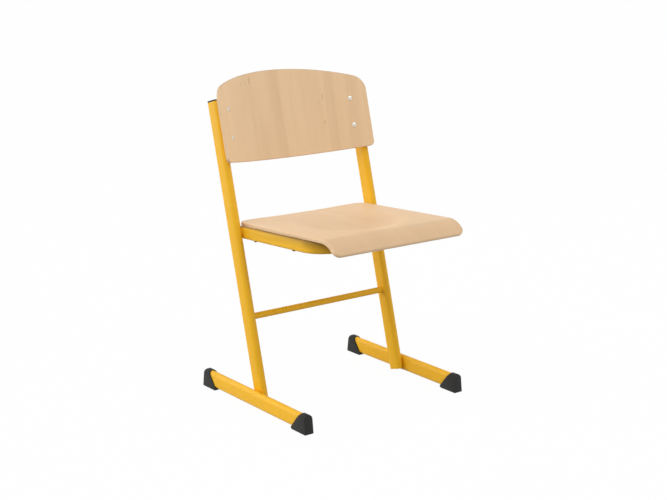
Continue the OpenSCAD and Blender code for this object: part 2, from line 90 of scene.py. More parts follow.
away = Vector((
    math.sin(CAMERA_SIDE) * math.cos(CAMERA_RISE),
    -math.cos(CAMERA_SIDE) * math.cos(CAMERA_RISE),
    math.sin(CAMERA_RISE),
))
camera = bpy.data.objects.new("camera", bpy.data.cameras.new("camera"))
bpy.context.scene.collection.objects.link(camera)
camera.location = CAMERA_AIM + away * CAMERA_DISTANCE
camera.rotation_mode = "QUATERNION"
camera.rotation_quaternion = (-away).to_track_quat("-Z", "Y") @ Quaternion((0, 0, 1), CAMERA_ROLL)
camera.data.sensor_width = 36
camera.data.lens = CAMERA_LENS
camera.data.clip_end = 100
bpy.context.scene.camera = camera
print("camera at", camera.location[:])

# %% [markdown]
# A finish is a small network of shader nodes. A few helpers keep the cells short. The
# first adds a node with its settings and its inputs, and the others are the steps that
# come back in most finishes: arithmetic, a soft ramp, a mix of two colours, a noise and
# a stretched pattern.

# %% Helpers for shader nodes
def add(tree, kind, settings=None, inputs=None):
    """Adds a node. An input's value is a number, a colour or another node's output."""
    node = tree.nodes.new(kind)
    for key, value in (settings or {}).items():
        setattr(node, key, value)
    for key, value in (inputs or {}).items():
        if isinstance(value, bpy.types.NodeSocket):
            tree.links.new(value, node.inputs[key])
        else:
            node.inputs[key].default_value = value
    return node


def maths(tree, operation, a, b=0.0, c=0.0, clamp=False):
    """One step of arithmetic; returns its result."""
    settings = {"operation": operation, "use_clamp": clamp}
    return add(tree, "ShaderNodeMath", settings, {0: a, 1: b, 2: c}).outputs[0]


def spread(tree, value, low, high, to_low=0.0, to_high=1.0):
    """Stretches low to high onto to_low to to_high with level ends."""
    node = add(tree, "ShaderNodeMapRange", {"interpolation_type": "SMOOTHSTEP"}, {
        "Value": value, "From Min": low, "From Max": high, "To Min": to_low, "To Max": to_high})
    return node.outputs["Result"]


def blend_colour(tree, share, a, b, how="MIX"):
    """Mixes two colours by a share from 0 to 1."""
    node = add(tree, "ShaderNodeMix", {"data_type": "RGBA", "blend_type": how})
    for socket, value in ((node.inputs[0], share), (node.inputs[6], a), (node.inputs[7], b)):
        if isinstance(value, bpy.types.NodeSocket):
            tree.links.new(value, socket)
        else:
            socket.default_value = value
    return node.outputs[2]


def noise(tree, place, scale, detail, roughness=0.5, distortion=0.0):
    """A noise from 0 to 1; its scale counts lumps in a metre."""
    return add(tree, "ShaderNodeTexNoise", None, {
        "Vector": place, "Scale": scale, "Detail": detail, "Roughness": roughness,
        "Distortion": distortion}).outputs["Fac"]


def stretch(tree, place, by):
    """A place multiplied axis by axis, which stretches the pattern that reads it."""
    return add(tree, "ShaderNodeVectorMath", {"operation": "MULTIPLY"}, {
        0: place, 1: by}).outputs[0]


print("node helpers ready")

# %% [markdown]
# An effect that several finishes share becomes a node group with named inputs and
# outputs. The shader itself stays in the material, so one helper starts a group, one
# places it, and two more start and end a material.

# %% Helpers for groups and finishes
FLOAT, VECTOR = "NodeSocketFloat", "NodeSocketVector"


def start_group(name, inputs, outputs):
    """Starts a node group; returns it with what comes in and what goes out."""
    group = bpy.data.node_groups.new(name, "ShaderNodeTree")
    for label, kind, value in inputs:
        socket = group.interface.new_socket(label, in_out="INPUT", socket_type=kind)
        if value is not None:
            socket.default_value = value
    for label in outputs:
        group.interface.new_socket(label, in_out="OUTPUT", socket_type=FLOAT)
    entry, end = group.nodes.new("NodeGroupInput"), group.nodes.new("NodeGroupOutput")
    return group, entry.outputs, end.inputs


def use_group(tree, group, inputs):
    """Places a group in a finish with its own values; returns its outputs."""
    return add(tree, "ShaderNodeGroup", {"node_tree": group}, inputs).outputs


def start_finish(name):
    """Starts a material with a Principled shader joined to its output."""
    finish = bpy.data.materials.new(name)
    finish.use_nodes = True
    tree = finish.node_tree
    tree.nodes.clear()
    shader = add(tree, "ShaderNodeBsdfPrincipled")
    add(tree, "ShaderNodeOutputMaterial", None, {"Surface": shader.outputs[0]})
    return finish, tree, shader


def end_finish(tree, shader, colour, rough, height, strength, distance):
    """Joins a colour, a roughness and the bump of a height to the shader."""
    tree.links.new(colour, shader.inputs["Base Color"])
    tree.links.new(rough, shader.inputs["Roughness"])
    bump = add(tree, "ShaderNodeBump", None, {
        "Strength": strength, "Distance": distance, "Height": height})
    tree.links.new(bump.outputs["Normal"], shader.inputs["Normal"])


print("group and finish helpers ready")

# %% [markdown]
# No real finish is one flat colour. A slow, cloudy change of tone is common to paint,
# wood and plastic, so it is one group. It is a noise whose size is given in metres, and
# it gives a value from 0 to 1.

# %% Shared effect: cloudy tone
cloudy, put_in, put_out = start_group(
    "cloudy_tone",
    [("Place", VECTOR, None), ("Size", FLOAT, 0.1), ("Detail", FLOAT, 3.0)],
    ["Tone"],
)
clouds = noise(cloudy, put_in["Place"], maths(cloudy, "DIVIDE", 1.0, put_in["Size"]),
               put_in["Detail"], roughness=0.55)
cloudy.links.new(spread(cloudy, clouds, 0.3, 0.7), put_out["Tone"])
print("group", cloudy.name)

# %% [markdown]
# Powder coat has the skin of an orange, moulded plastic a fine spark-eroded texture,
# and lacquer on wood a faint swelling. All three are a soft relief with a coarse and a
# fine part, so one group serves them.

# %% Shared effect: fine relief
relief, put_in, put_out = start_group(
    "fine_relief",
    [("Place", VECTOR, None), ("Coarse Size", FLOAT, 0.003), ("Fine Size", FLOAT, 0.0008),
     ("Fine Share", FLOAT, 0.3)],
    ["Height"],
)
coarse = noise(relief, put_in["Place"], maths(relief, "DIVIDE", 1.0, put_in["Coarse Size"]), 1.0)
fine = noise(relief, put_in["Place"], maths(relief, "DIVIDE", 1.0, put_in["Fine Size"]), 2.0)
height = add(relief, "ShaderNodeMix", {"data_type": "FLOAT"}, {
    0: put_in["Fine Share"], 2: coarse, 3: fine})
relief.links.new(height.outputs[0], put_out["Height"])
print("group", relief.name)

# %% [markdown]
# School furniture is rubbed by shoes and hands. A rub shows as short fine strokes that
# lie in patches. The strokes are a noise stretched along one axis, and a second noise
# decides where a patch is. The amount stays small, because the photographed chair is new.

# %% Shared effect: fine rubs
rubs, put_in, put_out = start_group(
    "fine_rubs",
    [("Place", VECTOR, None), ("Stroke Scale", VECTOR, (900, 60, 900)),
     ("Patch Size", FLOAT, 0.05), ("Amount", FLOAT, 0.3)],
    ["Rubbed"],
)
strokes = noise(rubs, stretch(rubs, put_in["Place"], put_in["Stroke Scale"]), 1.0, 2.0)
patches = noise(rubs, put_in["Place"], maths(rubs, "DIVIDE", 1.0, put_in["Patch Size"]), 2.0)
both = maths(rubs, "MULTIPLY", spread(rubs, patches, 0.52, 0.68), spread(rubs, strokes, 0.58, 0.7))
rubs.links.new(maths(rubs, "MULTIPLY", both, put_in["Amount"], clamp=True), put_out["Rubbed"])
print("group", rubs.name)

# %% [markdown]
# Every finish places these three groups with values of its own: the size and detail of
# the clouds, then the strokes, the patches and the amount of the rubs, then the coarse
# size, the fine size and the fine share of the relief. Object coordinates keep the
# patterns fixed to the pieces. The roughness follows the clouds and rises where a piece
# is rubbed.

# %% Helpers: the three effects in a finish
def effects(tree, clouds, rubbing, skin, skin_place=None):
    """The cloudy tone, the rubs and the relief of one finish."""
    place = add(tree, "ShaderNodeTexCoord").outputs["Object"]
    tone = use_group(tree, cloudy, {"Place": place, "Size": clouds[0], "Detail": clouds[1]})
    rubbed = use_group(tree, rubs, {
        "Place": place, "Stroke Scale": rubbing[0], "Patch Size": rubbing[1],
        "Amount": rubbing[2]})
    raised = use_group(tree, relief, {
        "Place": place if skin_place is None else skin_place,
        "Coarse Size": skin[0], "Fine Size": skin[1], "Fine Share": skin[2]})
    return tone["Tone"], rubbed["Rubbed"], raised["Height"]


def roughness_of(tree, tone, low, high, rubbed, rise):
    """A roughness from low to high that rises where a piece is rubbed."""
    return maths(tree, "ADD", spread(tree, tone, 0, 1, low, high),
                 maths(tree, "MULTIPLY", rubbed, rise))


print("effects ready")

# %% [markdown]
# The frame is steel tube with a golden-yellow powder coat, baked on as one satin skin.
# Its colour hardly changes, so the finish lives from small things: a cloudy change of
# tone of a few percent, an orange-peel relief, a roughness that wanders a little, and
# faint rubs. An attribute on the rail paints shade into the paint, as a dark brown: in
# the narrow gap under the seat's edge, and deeper down in the rail's bend behind the
# lip, where the seat and the lip shade the tube.

# %% Finish: yellow powder coat
DEEP_YELLOW, LIGHT_YELLOW = (0.86, 0.455, 0.008, 1), (0.90, 0.487, 0.012, 1)
# The second colour on the next line is the dark brown of painted shade.
RUBBED_YELLOW, SHADE_BROWN = (0.92, 0.55, 0.05, 1), (0.13, 0.065, 0.012, 1)

powder_coat, tree, shader = start_finish("yellow_powder_coat")
tone, rubbed, skin = effects(tree, (0.12, 4.0), ((700, 90, 260), 0.045, 0.25),
                             (0.0022, 0.0007, 0.25))
paint = blend_colour(tree, tone, DEEP_YELLOW, LIGHT_YELLOW)
paint = blend_colour(tree, rubbed, paint, RUBBED_YELLOW)
# Painted shade: an attribute on the rail darkens the paint under the seat's edge and in the bend.
painted_shade = add(tree, "ShaderNodeAttribute", {"attribute_name": "painted_shade"}).outputs["Fac"]
shaded_share = maths(tree, "MULTIPLY", painted_shade, spread(tree, tone, 0, 1, 0.78, 0.92))
paint = blend_colour(tree, shaded_share, paint, SHADE_BROWN)
end_finish(tree, shader, paint, roughness_of(tree, tone, 0.38, 0.46, rubbed, 0.15),
           skin, 0.3, 0.00005)
shader.inputs["Specular IOR Level"].default_value = 0.3
print("finish", powder_coat.name)

# %% [markdown]
# The feet, caps and plugs are charcoal plastic with a fine moulded texture. Where they
# are handled and scuffed the texture turns a little paler.

# %% Finish: charcoal plastic
DEEP_CHARCOAL, LIGHT_CHARCOAL = (0.019, 0.0185, 0.018, 1), (0.025, 0.024, 0.023, 1)
SCUFFED_CHARCOAL = (0.055, 0.053, 0.051, 1)

black_plastic, tree, shader = start_finish("charcoal_plastic")
tone, rubbed, skin = effects(tree, (0.03, 4.0), ((500, 120, 500), 0.02, 0.6),
                             (0.0011, 0.0004, 0.5))
plastic = blend_colour(tree, tone, DEEP_CHARCOAL, LIGHT_CHARCOAL)
plastic = blend_colour(tree, rubbed, plastic, SCUFFED_CHARCOAL)
end_finish(tree, shader, plastic, roughness_of(tree, tone, 0.52, 0.62, rubbed, 0.1),
           skin, 0.4, 0.00012)
shader.inputs["Specular IOR Level"].default_value = 0.25
print("finish", black_plastic.name)

# %% [markdown]
# Three small metals hold the boards: bright aluminium rivets, zinc-plated steel and
# turned brass. They share one recipe, with two tones, a least and a greatest roughness
# and the scale of the strokes, so a short function makes each of them.

# %% Finishes: rivets, zinc and brass
def metal_finish(name, dark, light, smooth, rough, stroke_scale):
    """A metal whose tone and roughness wander, with fine rubs."""
    finish, tree, shader = start_finish(name)
    tone, rubbed, skin = effects(tree, (0.004, 4.0), (stroke_scale, 0.004, 0.7),
                                 (0.0008, 0.0002, 0.5))
    end_finish(tree, shader, blend_colour(tree, tone, dark, light),
               roughness_of(tree, tone, smooth, rough, rubbed, 0.2), skin, 0.3, 0.00004)
    shader.inputs["Metallic"].default_value = 1.0
    print("finish", finish.name)
    return finish


rivet_metal = metal_finish(
    "bright_rivet_metal", (0.72, 0.68, 0.61, 1), (0.85, 0.81, 0.74, 1), 0.32, 0.48, (800, 800, 800))
zinc_metal = metal_finish(
    "zinc_plated_steel", (0.42, 0.43, 0.45, 1), (0.62, 0.62, 0.62, 1), 0.28, 0.45, (700, 700, 700))
brass_metal = metal_finish(
    "turned_brass", (0.42, 0.27, 0.09, 1), (0.62, 0.44, 0.18, 1), 0.3, 0.45, (900, 900, 200))

# %% [markdown]
# The boards are beech plywood. Each board carries an attribute named blank: the place of
# every point on the flat blank before pressing, as the distance across the grain, the
# distance along it and the depth below the face. A pattern on that attribute bends with
# the board, and the depth alone tells which ply shows at the edge. The figure has three
# parts, each a noise drawn out along the grain: broad bands, fine lines and short flecks.

# %% Shared effect: beech figure
figure, put_in, put_out = start_group(
    "beech_figure",
    [("Blank", VECTOR, None), ("Shift", VECTOR, (0, 0, 0))],
    ["Broad", "Lines", "Flecks"],
)
moved = add(figure, "ShaderNodeVectorMath", {"operation": "ADD"}, {
    0: put_in["Blank"], 1: put_in["Shift"]}).outputs[0]
for label, drawn_out, detail, distortion, low, high in (
        ("Broad", (22, 2.6, 4), 3.0, 0.4, 0.3, 0.7),
        ("Lines", (190, 5, 20), 3.0, 0.6, 0.35, 0.65),
        ("Flecks", (1500, 170, 60), 1.0, 0.0, 0.66, 0.74)):
    grain = noise(figure, stretch(figure, moved, drawn_out), 1.0, detail, distortion=distortion)
    figure.links.new(spread(figure, grain, low, high), put_out[label])
print("group", figure.name)

# %% [markdown]
# The face veneer of the photographed backrest has a few faint darker streaks, where the
# log's growth changed, and some short brown flecks. One group draws one of either: a
# strip along the grain with its own width, its own softness to each side, and a start
# and an end. A slow noise lets its border wander.

# %% Shared effect: strip along the grain
streak, put_in, put_out = start_group(
    "grain_strip",
    [("Blank", VECTOR, None), ("Across", FLOAT, 0.0), ("Lean", FLOAT, 0.0),
     ("Half Width", FLOAT, 0.02), ("Left Softness", FLOAT, 0.01), ("Right Softness", FLOAT, 0.01),
     ("Wander", FLOAT, 0.006), ("From", FLOAT, 0.0), ("To", FLOAT, 1.0),
     ("End Softness", FLOAT, 0.02), ("Strength", FLOAT, 1.0)],
    ["Share"],
)
split = add(streak, "ShaderNodeSeparateXYZ", None, {0: put_in["Blank"]}).outputs
wander = maths(streak, "SUBTRACT", noise(streak, put_in["Blank"], 20.0, 3.0), 0.5)
wander = maths(streak, "MULTIPLY", wander, put_in["Wander"])
line = maths(streak, "MULTIPLY_ADD", split["Y"], put_in["Lean"], put_in["Across"])
off = maths(streak, "ADD", maths(streak, "SUBTRACT", split["X"], line), wander)
inside = put_in["Strength"]
for distance, softness in (
        (maths(streak, "ADD", off, put_in["Half Width"]), "Left Softness"),
        (maths(streak, "SUBTRACT", put_in["Half Width"], off), "Right Softness"),
        (maths(streak, "SUBTRACT", split["Y"], put_in["From"]), "End Softness"),
        (maths(streak, "SUBTRACT", put_in["To"], split["Y"]), "End Softness")):
    step = spread(streak, maths(streak, "DIVIDE", distance, put_in[softness]), -1.0, 1.0)
    inside = maths(streak, "MULTIPLY", inside, step)
streak.links.new(inside, put_out["Share"])
print("group", streak.name)

# %% [markdown]
# At the edge of plywood the plies alternate: long grain looks pale, end grain drinks the
# lacquer and looks browner, and a thin glue line parts them. The group reads only the
# depth below the face. The outer ply is the face veneer itself.

# %% Shared effect: plies at the edge
WOBBLE = 0.00025

plies, put_in, put_out = start_group(
    "edge_plies",
    [("Blank", VECTOR, None), ("Thickness", FLOAT, 0.009), ("Plies", FLOAT, 7.0)],
    ["End Grain", "Glue Line"],
)
depth = add(plies, "ShaderNodeSeparateXYZ", None, {0: put_in["Blank"]}).outputs["Z"]
wobble = maths(plies, "MULTIPLY_ADD", noise(plies, put_in["Blank"], 60.0, 2.0), WOBBLE, -WOBBLE / 2)
layer = maths(plies, "DIVIDE", maths(plies, "ADD", depth, wobble), put_in["Thickness"])
layer = maths(plies, "MULTIPLY", layer, put_in["Plies"])
behind = maths(plies, "SUBTRACT", put_in["Plies"], layer)
inner = maths(plies, "MULTIPLY", spread(plies, layer, 0.95, 1.05),
              spread(plies, behind, 0.95, 1.05))
swing = maths(plies, "SINE", maths(plies, "MULTIPLY", layer, math.pi))
for label, value in (("End Grain", spread(plies, swing, 0.1, -0.1)),
                     ("Glue Line", spread(plies, maths(plies, "ABSOLUTE", swing), 0.3, 0.05))):
    plies.links.new(maths(plies, "MULTIPLY", value, inner), put_out[label])
print("group", plies.name)

# %% [markdown]
# Both boards have the same clear satin lacquer over beech, but their own figure: the
# seat is plain and warm, the backrest a little browner with its streaks. Both also carry
# painted light and shade, in three attributes: painted shade a touch darker, in the
# seat's dish and on its lip; painted light a touch paler, on the dish's front wall and
# along the lip's lower edge; and painted shade greyer, along the backrest's top edge. A
# soft darker ring of painted shade lies around each rivet.

# %% Helpers: the tints of a board
DARKER, RIM_SHADE_GREY = (0.80, 0.76, 0.72, 1), (0.66, 0.68, 0.72, 1)
BROWNER, PALER = (0.74, 0.72, 0.58, 1), (1.12, 1.14, 1.16, 1)
# The three attribute tints on the next line paint light and shade: darker and greyer for shade,
# paler for light.
PAINTED_LIGHT_TINTS = (("hollow", DARKER, 0.28), ("seat_light", PALER, 0.55), ("rim", RIM_SHADE_GREY, 0.90))
RIVET_SHADE_SHARE = 0.85


def tint_wood(tree, wood, share, strength, tint):
    """Multiplies the wood by a tint where the share is high."""
    return blend_colour(tree, maths(tree, "MULTIPLY", share, strength), wood, tint, "MULTIPLY")


def shade_around_rivets(tree, blank, across, middle, apart, inner, outer):
    """A soft ring of painted shade around each of four places that mirror one another on the blank.
    """
    split = add(tree, "ShaderNodeSeparateXYZ", None, {0: blank}).outputs
    x = maths(tree, "SUBTRACT", maths(tree, "ABSOLUTE", split["X"]), across)
    above = maths(tree, "ABSOLUTE", maths(tree, "SUBTRACT", split["Y"], middle))
    y = maths(tree, "SUBTRACT", above, apart)
    squares = maths(tree, "ADD", maths(tree, "MULTIPLY", x, x), maths(tree, "MULTIPLY", y, y))
    return spread(tree, maths(tree, "SQRT", squares), outer, inner)


def shade(colour, red, green, blue):
    """A colour whose channels are multiplied."""
    return colour[0] * red, colour[1] * green, colour[2] * blue, 1


print("tints ready")

# %% [markdown]
# The recipe of a board follows the maker's order: the wood's figure, its streaks, the
# tints, then the plies that show at the edge, and last the lacquer, which is rougher on
# end grain and swells a little over the grain.

# %% Helper: lacquered beech
STREAK_INPUTS = ("Across", "Lean", "Half Width", "Left Softness", "Right Softness", "From", "To",
                 "End Softness", "Strength")
MOST_WANDER = 0.012


def beech_finish(name, pale, warm, thickness, shift, figure_strength, edge_share, streaks=(),
                 rivets=None):
    """Lacquered beech plywood, coloured by its flat blank."""
    finish, tree, shader = start_finish(name)
    browner = shade(warm, 0.62, 0.5, 0.4)
    blank = add(tree, "ShaderNodeAttribute", {"attribute_name": "blank"}).outputs["Vector"]
    grain = use_group(tree, figure, {"Blank": blank, "Shift": shift})
    wood = blend_colour(tree, grain["Broad"], pale, warm)
    wood = blend_colour(tree, maths(tree, "MULTIPLY", grain["Lines"], 0.3 * figure_strength), wood,
                        shade(warm, 0.88, 0.88, 0.88))
    wood = blend_colour(tree, maths(tree, "MULTIPLY", grain["Flecks"], 0.25), wood, browner)
    for tint, *values in streaks:
        values = dict(zip(STREAK_INPUTS, values))
        wander = min(MOST_WANDER, 4 * values["Right Softness"])
        share = use_group(tree, streak, {"Blank": blank, "Wander": wander, **values})["Share"]
        wood = blend_colour(tree, share, wood, tint, "MULTIPLY")
    for attribute, tint, strength in PAINTED_LIGHT_TINTS:
        share = add(tree, "ShaderNodeAttribute", {"attribute_name": attribute}).outputs["Fac"]
        wood = tint_wood(tree, wood, share, strength, tint)
    # Painted shade: a darker ring around each rivet's head.
    if rivets:
        wood = tint_wood(tree, wood, shade_around_rivets(tree, blank, **rivets), RIVET_SHADE_SHARE, DARKER)
    edge = use_group(tree, plies, {"Blank": blank, "Thickness": thickness, "Plies": 7.0})
    wood = blend_colour(tree, maths(tree, "MULTIPLY", edge["End Grain"], edge_share), wood,
                        shade(warm, 0.72, 0.66, 0.60))
    wood = blend_colour(tree, maths(tree, "MULTIPLY", edge["Glue Line"], 0.6 * edge_share), wood,
                        browner)
    tone, rubbed, swell = effects(tree, (0.07, 3.0), ((500, 70, 300), 0.05, 0.4),
                                  (0.004, 0.0006, 0.4), skin_place=blank)
    rough = maths(tree, "ADD", roughness_of(tree, tone, 0.44, 0.52, rubbed, 0.12),
                  maths(tree, "MULTIPLY", edge["End Grain"], 0.12))
    swell = maths(tree, "SUBTRACT", swell, maths(tree, "MULTIPLY", grain["Flecks"], 0.3))
    end_finish(tree, shader, wood, rough, swell, 0.2, 0.00012)
    print("finish", finish.name, "with", len(streaks), "streaks")
    return finish


print("recipe ready")

# %% [markdown]
# The seat's board is 9 mm thick and the backrest's 8 mm. A row of the list is one streak
# or fleck, measured on the blank in metres: its tint, its place across, its lean, its
# half width, its softness to the left and right, its lower and upper end, their
# softness, and its strength. The four darker streaks come first, then the six flecks,
# then the paler strips. The first two paler strips are painted light along the end on
# the sitter's right.

# %% Finishes: the two beech boards
BACK_STREAKS = [
    (DARKER, -0.011, 0.00, 0.015, 0.012, 0.002, -0.1, 0.30, 0.02, 0.26),
    (DARKER, 0.140, 0.035, 0.013, 0.004, 0.004, -0.1, 0.215, 0.02, 0.27),
    (DARKER, 0.197, 0.050, 0.014, 0.004, 0.006, -0.1, 0.30, 0.02, 0.27),
    (DARKER, -0.060, 0.02, 0.018, 0.015, 0.015, -0.1, 0.09, 0.03, 0.18),
    (BROWNER, -0.091, 0.0, 0.0018, 0.0008, 0.0008, 0.192, 0.209, 0.002, 0.90),
    (BROWNER, -0.108, 0.0, 0.0014, 0.0008, 0.0008, 0.189, 0.198, 0.002, 0.65),
    (BROWNER, -0.123, 0.0, 0.0014, 0.0008, 0.0008, 0.187, 0.195, 0.002, 0.60),
    (BROWNER, 0.125, 0.0, 0.0018, 0.0010, 0.0010, 0.136, 0.150, 0.003, 0.55),
    (BROWNER, 0.112, 0.0, 0.0016, 0.0010, 0.0010, 0.127, 0.134, 0.003, 0.45),
    (BROWNER, 0.122, 0.0, 0.0020, 0.0010, 0.0010, 0.073, 0.081, 0.003, 0.60),
    # The next two paler strips are painted light along the end on the sitter's right.
    (PALER, -0.216, 0.0, 0.028, 0.006, 0.006, -0.1, 0.30, 0.02, 0.35),
    (PALER, -0.190, 0.0, 0.060, 0.006, 0.030, -0.1, 0.30, 0.02, 0.35),
    (PALER, 0.020, 0.0, 0.012, 0.002, 0.012, -0.1, 0.30, 0.02, 0.16),
]
BACK_RIVETS = {"across": 0.19783, "middle": 0.095, "apart": 0.035, "inner": 0.0056, "outer": 0.0084}
SEAT_T, BACK_T = 0.009, 0.008

seat_beech = beech_finish(
    "seat_beech", (0.790, 0.543, 0.318, 1), (0.760, 0.514, 0.296, 1), SEAT_T, (0.31, 0.0, 0.0),
    figure_strength=0.45, edge_share=0.20)
back_beech = beech_finish(
    "backrest_beech", (0.846, 0.590, 0.343, 1), (0.816, 0.561, 0.321, 1), BACK_T, (0.0, 0.4, 0.0),
    figure_strength=0.5, edge_share=0.40, streaks=BACK_STREAKS, rivets=BACK_RIVETS)

# %% [markdown]
# Every new piece ends the same way: its faces are shaded smooth except across hard
# edges, its mesh becomes an object at the origin, and the object rides on the chair's
# one body. The solids that it stands for are hidden.

# %% Helper: hand a mesh over as a piece
CREASE = math.radians(35)


def finish_piece(bm, name, finish, stands_for=(), crease=CREASE):
    """Makes the mesh an object of the chair."""
    for face in bm.faces:
        face.smooth = True
    for edge in bm.edges:
        edge.smooth = not edge.is_manifold or edge.calc_face_angle() < crease
    mesh = bpy.data.meshes.new(name)
    bm.to_mesh(mesh)
    bm.free()
    mesh.materials.append(finish)
    piece = bpy.data.objects.new(name, mesh)
    bpy.context.scene.collection.objects.link(piece)
    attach(piece, "root")
    if stands_for:
        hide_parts(*stands_for)
    print("piece", name, "faces", len(mesh.polygons))


print("piece helper ready")

# %% [markdown]
# A board starts as it does in the factory: a stack of flat veneers, which is pressed and
# then trimmed with a rounded arris. Here the stack is a flat grid, extruded down, whose
# rim is cut into thin bands. A press function then sends each point of the blank to
# its place on the mould, and the flat place is kept in the attribute blank.

# %% Helpers: a flat stack of veneers, and the press
ARRIS_STEPS = 4


def arris_profile(face_radius, back_radius, thickness):
    """The rim from face to back: pairs of inset from the outline and depth."""
    turns = [math.pi / 2 * k / ARRIS_STEPS for k in range(ARRIS_STEPS + 1)]
    face = [(face_radius * (1 - math.sin(a)), face_radius * (1 - math.cos(a))) for a in turns]
    back = [(back_radius * (1 - math.sin(a)), thickness - back_radius * (1 - math.cos(a)))
            for a in reversed(turns)]
    return face + back


def veneer_stack(columns, rows, bands):
    """A slab on whole numbers: column, row, and minus the band at the rim."""
    bm = bmesh.new()
    bmesh.ops.create_grid(bm, x_segments=columns, y_segments=rows, size=0.5)
    bmesh.ops.translate(bm, verts=bm.verts, vec=(0.5, 0.5, 0))
    bmesh.ops.scale(bm, verts=bm.verts, vec=(columns, rows, 1))
    grown = bmesh.ops.extrude_face_region(bm, geom=bm.faces[:], use_keep_orig=True)
    under = [v for v in grown["geom"] if isinstance(v, bmesh.types.BMVert)]
    bmesh.ops.translate(bm, verts=under, vec=(0, 0, -bands))
    uprights = [e for e in bm.edges if abs(e.verts[0].co.z - e.verts[1].co.z) > 0.5]
    bmesh.ops.subdivide_edges(bm, edges=uprights, cuts=bands - 1, use_grid_fill=True)
    bmesh.ops.recalc_face_normals(bm, faces=bm.faces)
    print("stack of", columns, "by", rows, "has", len(bm.verts), "points")
    return bm


def press(bm, blank_place, mould_place, to_chair):
    """Sends each point of the stack to the mould, and keeps its flat place."""
    layer = bm.verts.layers.float_vector.new("blank")
    for vert in bm.verts:
        column, row, band = round(vert.co.x), round(vert.co.y), round(-vert.co.z)
        across, along, depth = blank_place(column, row, band)
        vert[layer] = (across, along, depth)
        vert.co = to_chair @ Vector(mould_place(across, along, depth))
    bmesh.ops.recalc_face_normals(bm, faces=bm.faces)


print("stack and press ready")

# %% [markdown]
# The seat is 396 mm wide and 9 mm thick, with a shallow dish and a front lip that rolls
# down through 50 degrees. Its blank is a rectangle with small corners at the lip and
# larger ones at the rear. The rows close to each end follow the corners' arcs, and a
# narrow row inside the outline supports the arris.

# %% The seat's blank and mould
SEAT_HALF, SEAT_LEN = 0.198, 0.338
LIP_R, LIP_ANGLE, LIP_LEN = 0.060, math.radians(50), 0.0135
LIP_RUN = LIP_LEN + LIP_R * LIP_ANGLE
SEAT_RUN = LIP_RUN + SEAT_LEN
LIP_CORNER, REAR_CORNER, SEAT_ARRIS, UNDER_ARRIS = 0.018, 0.028, 0.0036, 0.001
CORNER_ROWS, SEAT_ROWS, SEAT_COLUMNS = 8, 64, 56
SUPPORT = 0.0012
DISH_DEPTH, DISH_HALF, DISH_FRONT, DISH_MID = 0.012, 0.145, 0.006, 0.125
DISH_WALL, DISH_REAR = 0.75, 0.12
seat_profile = arris_profile(SEAT_ARRIS, UNDER_ARRIS, SEAT_T)


def seat_row(row, inset):
    """Place along the blank and half width of one row."""
    last = 2 * CORNER_ROWS + SEAT_ROWS
    if row < CORNER_ROWS:
        a = math.pi / 2 * row / CORNER_ROWS
        r = LIP_CORNER - inset
        return LIP_CORNER - r * math.cos(a), SEAT_HALF - LIP_CORNER + r * math.sin(a)
    if row > last - CORNER_ROWS:
        a = math.pi / 2 * (last - row) / CORNER_ROWS
        r = REAR_CORNER - inset
        return SEAT_RUN - REAR_CORNER + r * math.cos(a), SEAT_HALF - REAR_CORNER + r * math.sin(a)
    share = (row - CORNER_ROWS) / SEAT_ROWS
    return LIP_CORNER + (SEAT_RUN - LIP_CORNER - REAR_CORNER) * share, SEAT_HALF - inset


def seat_blank(column, row, band):
    """Flat place of a point of the seat's stack."""
    inset, depth = seat_profile[band]
    along, half = seat_row(row, inset)
    if column in (0, SEAT_COLUMNS):
        across = half * (1 if column else -1)
    else:
        across = (half - SUPPORT) * (2 * (column - 1) / (SEAT_COLUMNS - 2) - 1)
    return across, along, depth


def dish(x, y):
    """Depth of the dish at x across and y behind the lip's roll."""
    ahead = max(0, (DISH_MID - y) / (DISH_MID - DISH_FRONT))
    behind = max(0, (y - DISH_MID) / (SEAT_LEN - DISH_MID))
    q = min(1, max(0, (1 - math.hypot(x / DISH_HALF, ahead)) / DISH_WALL))
    return DISH_DEPTH * q * q * (6 - 8 * q + 3 * q * q) * (1 - (1 - DISH_REAR) * behind)


def seat_mould(across, along, depth):
    """Pressed place of a point of the blank, in the seat's own frame."""
    r = LIP_R - depth
    if along < LIP_RUN:
        a = LIP_ANGLE * min(1, 1 - (along - LIP_LEN) / (LIP_R * LIP_ANGLE))
        straight = max(0, LIP_LEN - along)
        return (across, -r * math.sin(a) - straight * math.cos(a),
                r * math.cos(a) - LIP_R - straight * math.sin(a))
    y = along - LIP_RUN
    return across, y, -depth - dish(across, y)


seat = veneer_stack(SEAT_COLUMNS, 2 * CORNER_ROWS + SEAT_ROWS, len(seat_profile) - 1)
press(seat, seat_blank, seat_mould, seat_frame)

# %% [markdown]
# Two attributes paint light and shade into the seat, following the dish. The painted
# shade grows with the depth of the dish, and fades in over the first millimetres of the
# lip's face. The painted light follows the steepness of the dish's front wall, and is
# greatest on the lip's lower edge.

# %% The seat's painted light and shade
SHADE_GAIN, LIP_FADE, LIP_SKIN = 1.6, 0.008, 0.0008
LIGHT_STEP, LIGHT_DROP, EDGE_LIGHT_GAIN, EDGE_SKIN = 0.002, 0.0009, 1.8, 0.0010


def seat_light_and_shade(across, along, depth):
    """Shares of painted shade and painted light at a place of the blank."""
    y = along - LIP_RUN
    seat_light = 0
    if y > 0:
        hollow = min(1, SHADE_GAIN * dish(across, y) / DISH_DEPTH)
    else:
        hollow = min(1, -y / LIP_FADE) * max(0, 1 - depth / LIP_SKIN)
    if 0 < y < DISH_MID:
        drop = dish(across, y + LIGHT_STEP) - dish(across, y - LIGHT_STEP)
        seat_light = min(1, max(0, drop) / LIGHT_DROP)
    elif along < LIP_CORNER:
        seat_light = EDGE_LIGHT_GAIN * min(1, depth / EDGE_SKIN)
    return hollow, seat_light


